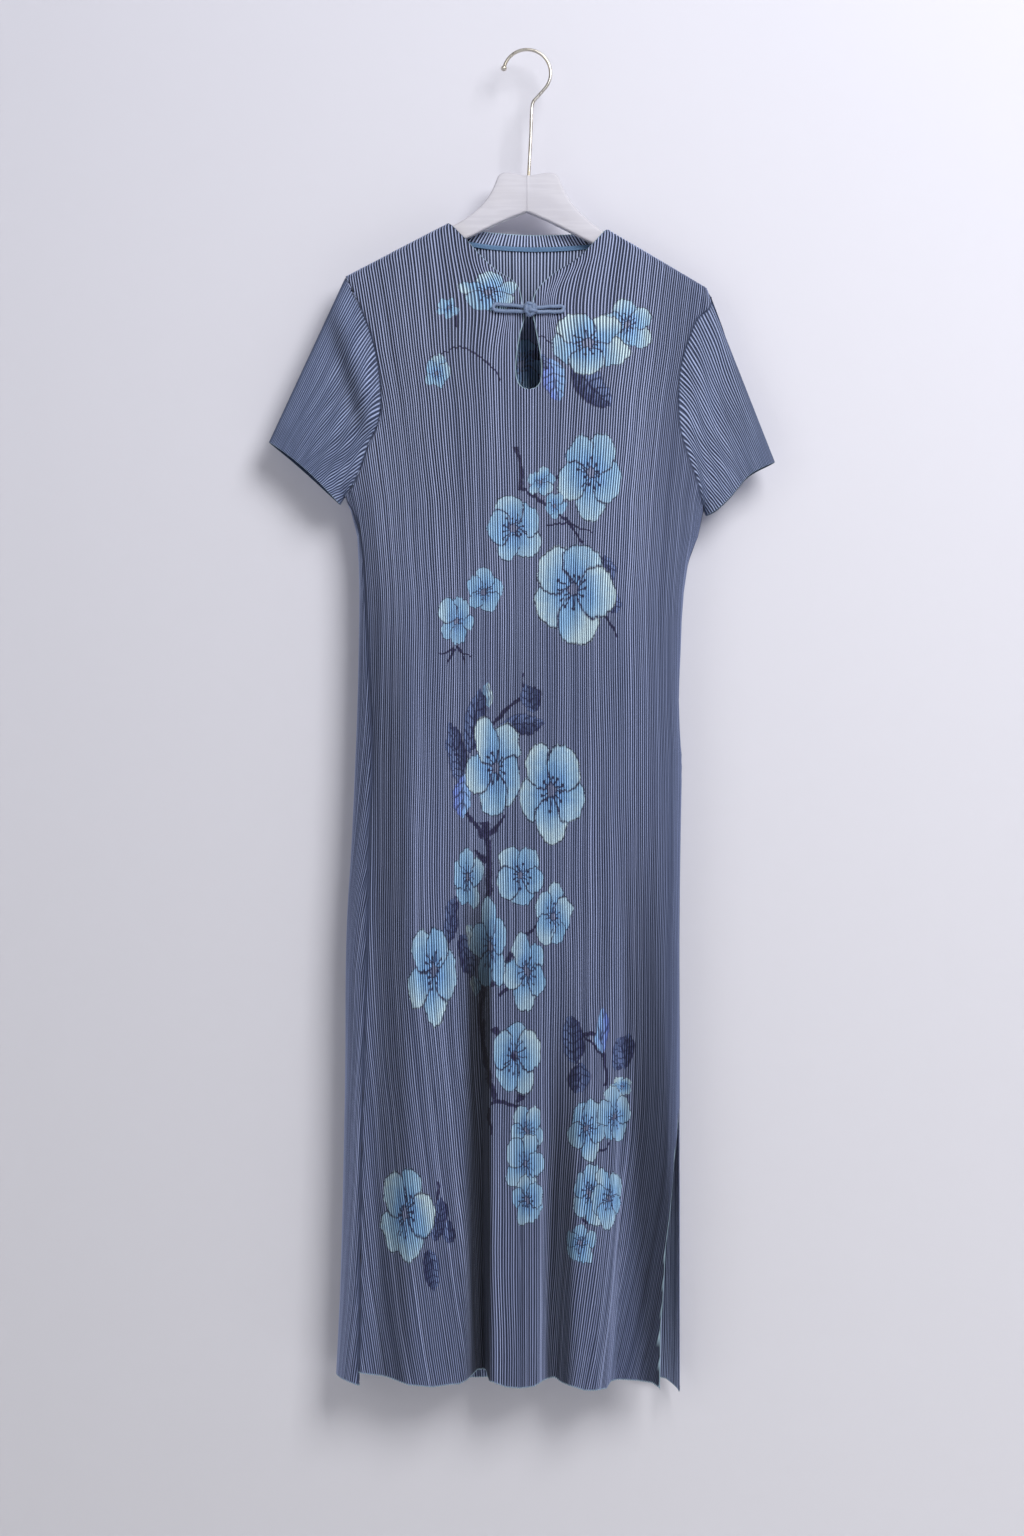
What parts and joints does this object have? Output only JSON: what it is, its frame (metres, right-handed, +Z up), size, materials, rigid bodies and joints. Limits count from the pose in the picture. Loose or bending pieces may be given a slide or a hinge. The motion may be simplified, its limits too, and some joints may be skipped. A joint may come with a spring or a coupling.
{
  "type": "cheongsam dress on a hanger",
  "caption": "Long pleated cheongsam dress with short sleeves, keyhole neck with a frog fastening and side slits, hung on a wooden hanger with a wire hook.",
  "frame": {"origin": "inside of the hook's top, where a rail or peg carries the object", "axes": "+Z up; -Y towards the viewer of the front of the dress; +X towards the viewer's right, across the shoulders"},
  "size_m": [0.5098, 0.0706, 1.3493],
  "materials": {
    "printed_pleats": "slate blue permanently pleated polyester, soft satin sheen, printed with pale blue blossom sprays",
    "pleats": "slate blue permanently pleated polyester, soft satin sheen",
    "sleeve_pleats": "lighter slate blue permanently pleated polyester, soft satin sheen",
    "tape": "smooth blue tape",
    "frog_cord": "rolled satin cord",
    "white_wood": "white painted, satin",
    "satin_wire": "satin nickel wire"
  },
  "bodies": {
    "root": {"front_left": "printed_pleats", "front_right": "printed_pleats", "front_chest": "printed_pleats", "front_skirt": "printed_pleats", "back_panel": "pleats", "back_stand": "pleats", "neck_tape": "tape", "sleeve_left": "sleeve_pleats", "sleeve_right": "sleeve_pleats", "frog_strip_left": "frog_cord", "frog_strip_right": "frog_cord", "frog_knot": "frog_cord", "hanger_left": "white_wood", "hanger_right": "white_wood", "hook_wire": "satin_wire", "hook_ball": "satin_wire"}
  },
  "joints": []
}
